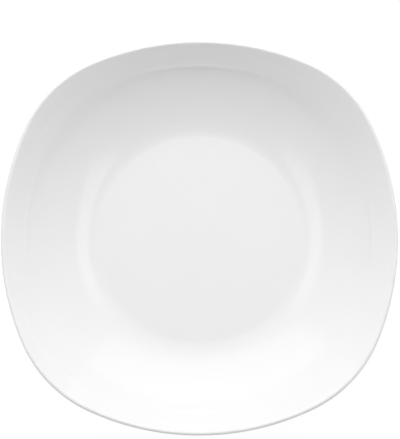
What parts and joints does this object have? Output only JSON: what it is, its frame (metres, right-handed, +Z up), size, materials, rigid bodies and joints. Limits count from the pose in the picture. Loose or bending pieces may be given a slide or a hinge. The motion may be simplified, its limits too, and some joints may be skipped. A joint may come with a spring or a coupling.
{
  "type": "soup plate",
  "caption": "Rounded-square soup plate in white glazed porcelain, with a round flat-floored well, a flared wall, a sloping rim that rises to its corners and a bare foot ring to stand on.",
  "frame": {"origin": "centre of the foot ring, in the plane that the plate stands on", "axes": "+Z up along the plate's axis, +X and +Y towards the middles of two neighbouring sides"},
  "size_m": [0.21, 0.21, 0.0395],
  "materials": {
    "porcelain": "bare fired porcelain, fine matt grain, ground smooth on the standing face",
    "glaze": "clear gloss glaze over white porcelain, faintly wavy, a touch bluer where it pools"
  },
  "bodies": {
    "root": {"porcelain_body": "porcelain", "glaze_coat": "glaze", "recess_glaze": "glaze"}
  },
  "joints": []
}
